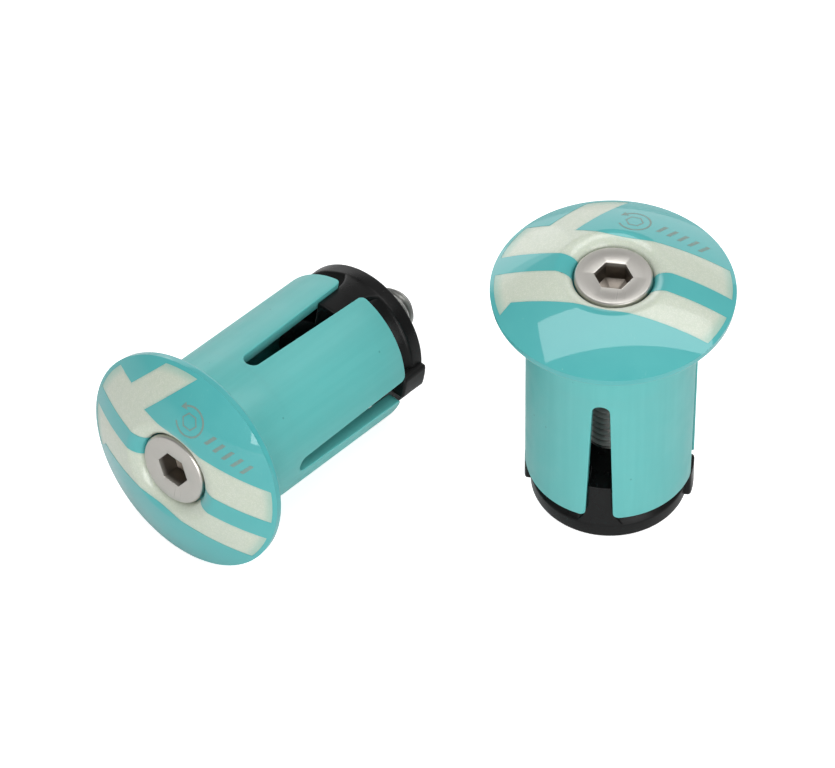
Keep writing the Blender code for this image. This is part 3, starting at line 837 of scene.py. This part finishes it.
def satin_nickel(plug):
    """Nickel-plated bolt head: fine turning rings, small scuffs and painted shade that darkens the
    socket.
    """
    f = Finish("satin_nickel", plug, Metallic=1.0, Anisotropic=0.3)
    grain = f.use(GRAIN, Per_Millimetre=9.0, Waviness=0.2)
    radius, height = from_axis(f)
    turned = noise(f.tree, radius, 7.0, 2.0)
    scratch = f.use(SCRATCHES, Amount=1.0)["Mask"]
    body = f.mixed(grain["Cloud"], linear(196, 193, 187), linear(212, 209, 203))
    body = f.mixed(maths(f.tree, "MULTIPLY", scratch, 0.35), body, linear(140, 134, 126))
    # painted shade: the socket turns darker and browner towards its floor, deeper in the recess
    painted_shade_by_depth = band(f.tree, height, HEAD_TOP - 0.25, HEAD_TOP - 0.9, 0.0, 1.0)
    within = maths(f.tree, "LESS_THAN", radius, SOCKET_FLATS * 0.6)
    dark = maths(f.tree, "MULTIPLY", painted_shade_by_depth, within)
    f.set("Base Color", f.mixed(maths(f.tree, "MULTIPLY", dark, 0.7), body, linear(98, 84, 70)))
    rough = band(f.tree, turned, 0.3, 0.7, 0.34, 0.42)
    f.set("Roughness", maths(f.tree, "ADD", rough, maths(f.tree, "MULTIPLY", scratch, 0.12)))
    f.bump(maths(f.tree, "ADD", turned, grain["Height"]), 0.006)
    return f.material


def zinc_thread(plug):
    """Zinc-plated thread: cool grey, cloudy, with painted shade that darkens its roots."""
    f = Finish("zinc_thread", plug, Metallic=0.75)
    grain = f.use(GRAIN, Per_Millimetre=8.0, Waviness=0.3)
    # painted shade: darker down in the thread's roots, full colour on the crests
    root = band(f.tree, from_axis(f)[0], THREAD_ROOT, THREAD_RADIUS - 0.1, 0.75, 0.0)
    body = f.mixed(grain["Cloud"], linear(205, 205, 202), linear(226, 226, 223))
    f.set("Base Color", f.mixed(root, body, linear(80, 78, 76)))
    f.set("Roughness", band(f.tree, grain["Cloud"], 0.3, 0.7, 0.28, 0.42))
    f.bump(grain["Height"], 0.01)
    return f.material


def black_plastic(plug):
    """Semi-gloss black moulded plastic with a fine grain and a little pale dust."""
    f = Finish("black_plastic", plug, IOR=1.5, Specular_IOR_Level=0.2)
    grain = f.use(GRAIN, Per_Millimetre=6.0, Waviness=1.0)
    dust = f.use(SPECKS, Per_Millimetre=0.8, Size=0.07, Share=0.35)["Mask"]
    scratch = f.use(SCRATCHES, Amount=0.7)["Mask"]
    body = f.mixed(grain["Cloud"], linear(14, 14, 14), linear(22, 22, 22))
    body = f.mixed(maths(f.tree, "MULTIPLY", dust, 0.35), body, linear(110, 112, 110))
    f.set("Base Color", f.mixed(maths(f.tree, "MULTIPLY", scratch, 0.1), body,
                                linear(110, 110, 108)))
    f.set("Roughness", band(f.tree, grain["Cloud"], 0.3, 0.7, 0.24, 0.36))
    f.bump(grain["Height"], 0.012)
    return f.material


def grey_ink(plug):
    """Thin warm-grey print, slightly patchy where it has worn."""
    f = Finish("grey_ink", plug, IOR=1.5)
    grain = f.use(GRAIN, Per_Millimetre=6.0, Waviness=0.2)
    worn = band(f.tree, noise(f.tree, f.vector, 2.2, 4.0, 0.7), 0.5, 0.72)
    body = f.mixed(grain["Cloud"], linear(112, 140, 134), linear(128, 150, 142))
    f.set("Base Color", f.mixed(maths(f.tree, "MULTIPLY", worn, 0.7), body,
                                linear(96, 172, 170)))
    f.set("Roughness", band(f.tree, grain["Cloud"], 0.3, 0.7, 0.3, 0.45))
    f.bump(grain["Height"], 0.004)
    return f.material


def nut_steel(plug):
    """Bright steel of the nut, with rolled-bar streaks and light scuffs."""
    f = Finish("nut_steel", plug, Metallic=1.0)
    grain = f.use(GRAIN, Per_Millimetre=8.0, Waviness=0.3)
    scratch = f.use(SCRATCHES, Amount=1.0)["Mask"]
    streak = noise(f.tree, stretch(f.tree, f.vector, (2.0, 2.0, 0.15)), 2.5, 3.0)
    f.set("Base Color", f.mixed(scratch, f.mixed(streak, linear(168, 166, 162),
                                                 linear(190, 188, 184)), linear(130, 126, 120)))
    f.set("Roughness", band(f.tree, streak, 0.3, 0.7, 0.3, 0.44))
    f.bump(grain["Height"], 0.008)
    return f.material


# ---- both plugs ---------------------------------------------------------------------------

def draw_shapes():
    """Every different piece of a plug, drawn once in the plug's own frame."""
    pattern = patterned_cap()
    return {
        "cap_shell": cap_shape(pattern),
        "glow_inlay_upper": inlay_shape(pattern, upper_band()),
        "glow_inlay_lower": inlay_shape(pattern, lower_band()),
        "turn_mark": mark_shape(),
        "sleeve_neck": neck_shape(),
        "sleeve_quarter": quarter_shape(),
        "bolt_head": bolt_head_shape(),
        "bolt_thread": thread_shape(),
        "wedge_body": wedge_shape(),
        "hex_nut": nut_shape(),
    }


def make_plug(plug, shapes):
    def add(name, body, finish, stands_for=(), turn=0.0):
        add_piece(name, shapes[name], plug, body, finish, stands_for, turn)

    gloss, satin, cream = teal_gloss(plug), teal_satin(plug), glow_cream(plug)
    add("cap_shell", "shell", gloss, ["cap"], PATTERN_TURN)
    for name in ("glow_inlay_upper", "glow_inlay_lower"):
        add(name, "shell", cream, [name], PATTERN_TURN)
    add("turn_mark", "shell", grey_ink(plug), turn=PATTERN_TURN)
    add("sleeve_neck", "shell", satin, ["sleeve_collar"])
    for number in range(1, 5):
        add_quarter(shapes["sleeve_quarter"], plug, number, satin)
    add("bolt_head", "bolt", satin_nickel(plug), ["bolt"])
    add("bolt_thread", "bolt", zinc_thread(plug))
    add("wedge_body", "wedge", black_plastic(plug), ["wedge"])
    add("hex_nut", "wedge", nut_steel(plug), ["captive_nut"])


# ---- floor, light and camera --------------------------------------------------------------

RIM = Vector(JOINTS["lying_bolt_turn"]["pos_m"])
LOOK_AT = Vector((RIM.x + 0.02843, RIM.y + 0.02501, 0.0))
CAMERA_DISTANCE = 0.6681
CAMERA_TILT = math.radians(47.98)
CAMERA_ROLL = math.radians(-1.07)
CAMERA_LENS = 226.7
TABLE_GLOW = 0.7
ROOM_LIGHT = 0.28


def white_floor():
    """A pale table big enough to fill the view; the camera sees it lit from within, so that
    it stays white where the plugs shade it."""
    material = bpy.data.materials.new("white_table")
    material.use_nodes = True
    tree = material.node_tree
    shader = tree.nodes["Principled BSDF"]
    where = tree.nodes.new("ShaderNodeTexCoord")
    shade = band(tree, noise(tree, where.outputs["Object"], 9.0, 2.0), 0.3, 0.7, 0.80, 0.84)
    tree.links.new(shade, shader.inputs["Base Color"])
    shader.inputs["Roughness"].default_value = 0.9
    shader.inputs["Specular IOR Level"].default_value = 0.1
    shader.inputs["Emission Color"].default_value = (1, 1, 1, 1)
    seen = tree.nodes.new("ShaderNodeLightPath").outputs["Is Camera Ray"]
    glow = maths(tree, "MULTIPLY", seen, TABLE_GLOW)
    tree.links.new(glow, shader.inputs["Emission Strength"])
    bm = bmesh.new()
    bmesh.ops.create_grid(bm, x_segments=1, y_segments=1, size=4.0)
    mesh = bpy.data.meshes.new("table")
    bm.to_mesh(mesh)
    bm.free()
    mesh.materials.append(material)
    floor = bpy.data.objects.new("table", mesh)
    bpy.context.scene.collection.objects.link(floor)


def softbox(name, place, aim, size, radiance, turn=0):
    """A rectangular light; its power follows from how bright its face looks."""
    light = bpy.data.lights.new(name, "AREA")
    light.shape = "RECTANGLE"
    light.size, light.size_y = size
    light.energy = radiance * math.pi * size[0] * size[1]
    lamp = bpy.data.objects.new(name, light)
    lamp.location = place
    facing = (Vector(aim) - Vector(place)).to_track_quat("-Z", "Y").to_matrix()
    lamp.rotation_euler = (facing @ Matrix.Rotation(math.radians(turn), 3, "Z")).to_euler()
    bpy.context.scene.collection.objects.link(lamp)


def light_room():
    world = bpy.data.worlds.new("pale_room")
    world.use_nodes = True
    world.node_tree.nodes["Background"].inputs["Color"].default_value = (1, 1, 1, 1)
    world.node_tree.nodes["Background"].inputs["Strength"].default_value = ROOM_LIGHT
    bpy.context.scene.world = world
    bpy.context.scene.view_settings.view_transform = "Standard"
    middle = (0, 0, 0.02)
    softbox("overhead_softbox", (0.11, 0.09, 0.5), (0.11, 0.09, 0), (0.72, 0.20), 3.3, 5)
    softbox("front_right_softbox", (0.40, -0.57, 0.40), middle, (0.5, 0.5), 2.6)
    softbox("back_wall", (0.0, 1.1, 0.3), middle, (2.0, 0.6), 1.0)
    softbox("back_left_panel", (-0.40, 0.85, 0.36), middle, (0.55, 0.4), 1.1)
    softbox("low_front_fill", (-0.22, -0.84, 0.24), middle, (0.6, 0.36), 4.9)


def set_camera():
    back = Vector((0, -math.cos(CAMERA_TILT), math.sin(CAMERA_TILT)))
    camera = bpy.data.objects.new("camera", bpy.data.cameras.new("camera"))
    camera.data.lens = CAMERA_LENS
    camera.data.clip_start, camera.data.clip_end = 0.05, 20
    camera.location = LOOK_AT + back * CAMERA_DISTANCE
    level = back.to_track_quat("Z", "Y")
    camera.rotation_euler = (level.to_matrix() @ Matrix.Rotation(CAMERA_ROLL, 3, "Z")).to_euler()
    bpy.context.scene.collection.objects.link(camera)
    bpy.context.scene.camera = camera


set_camera()
light_room()
white_floor()
drawn = draw_shapes()
for plug_name in PLUGS:
    make_plug(plug_name, drawn)
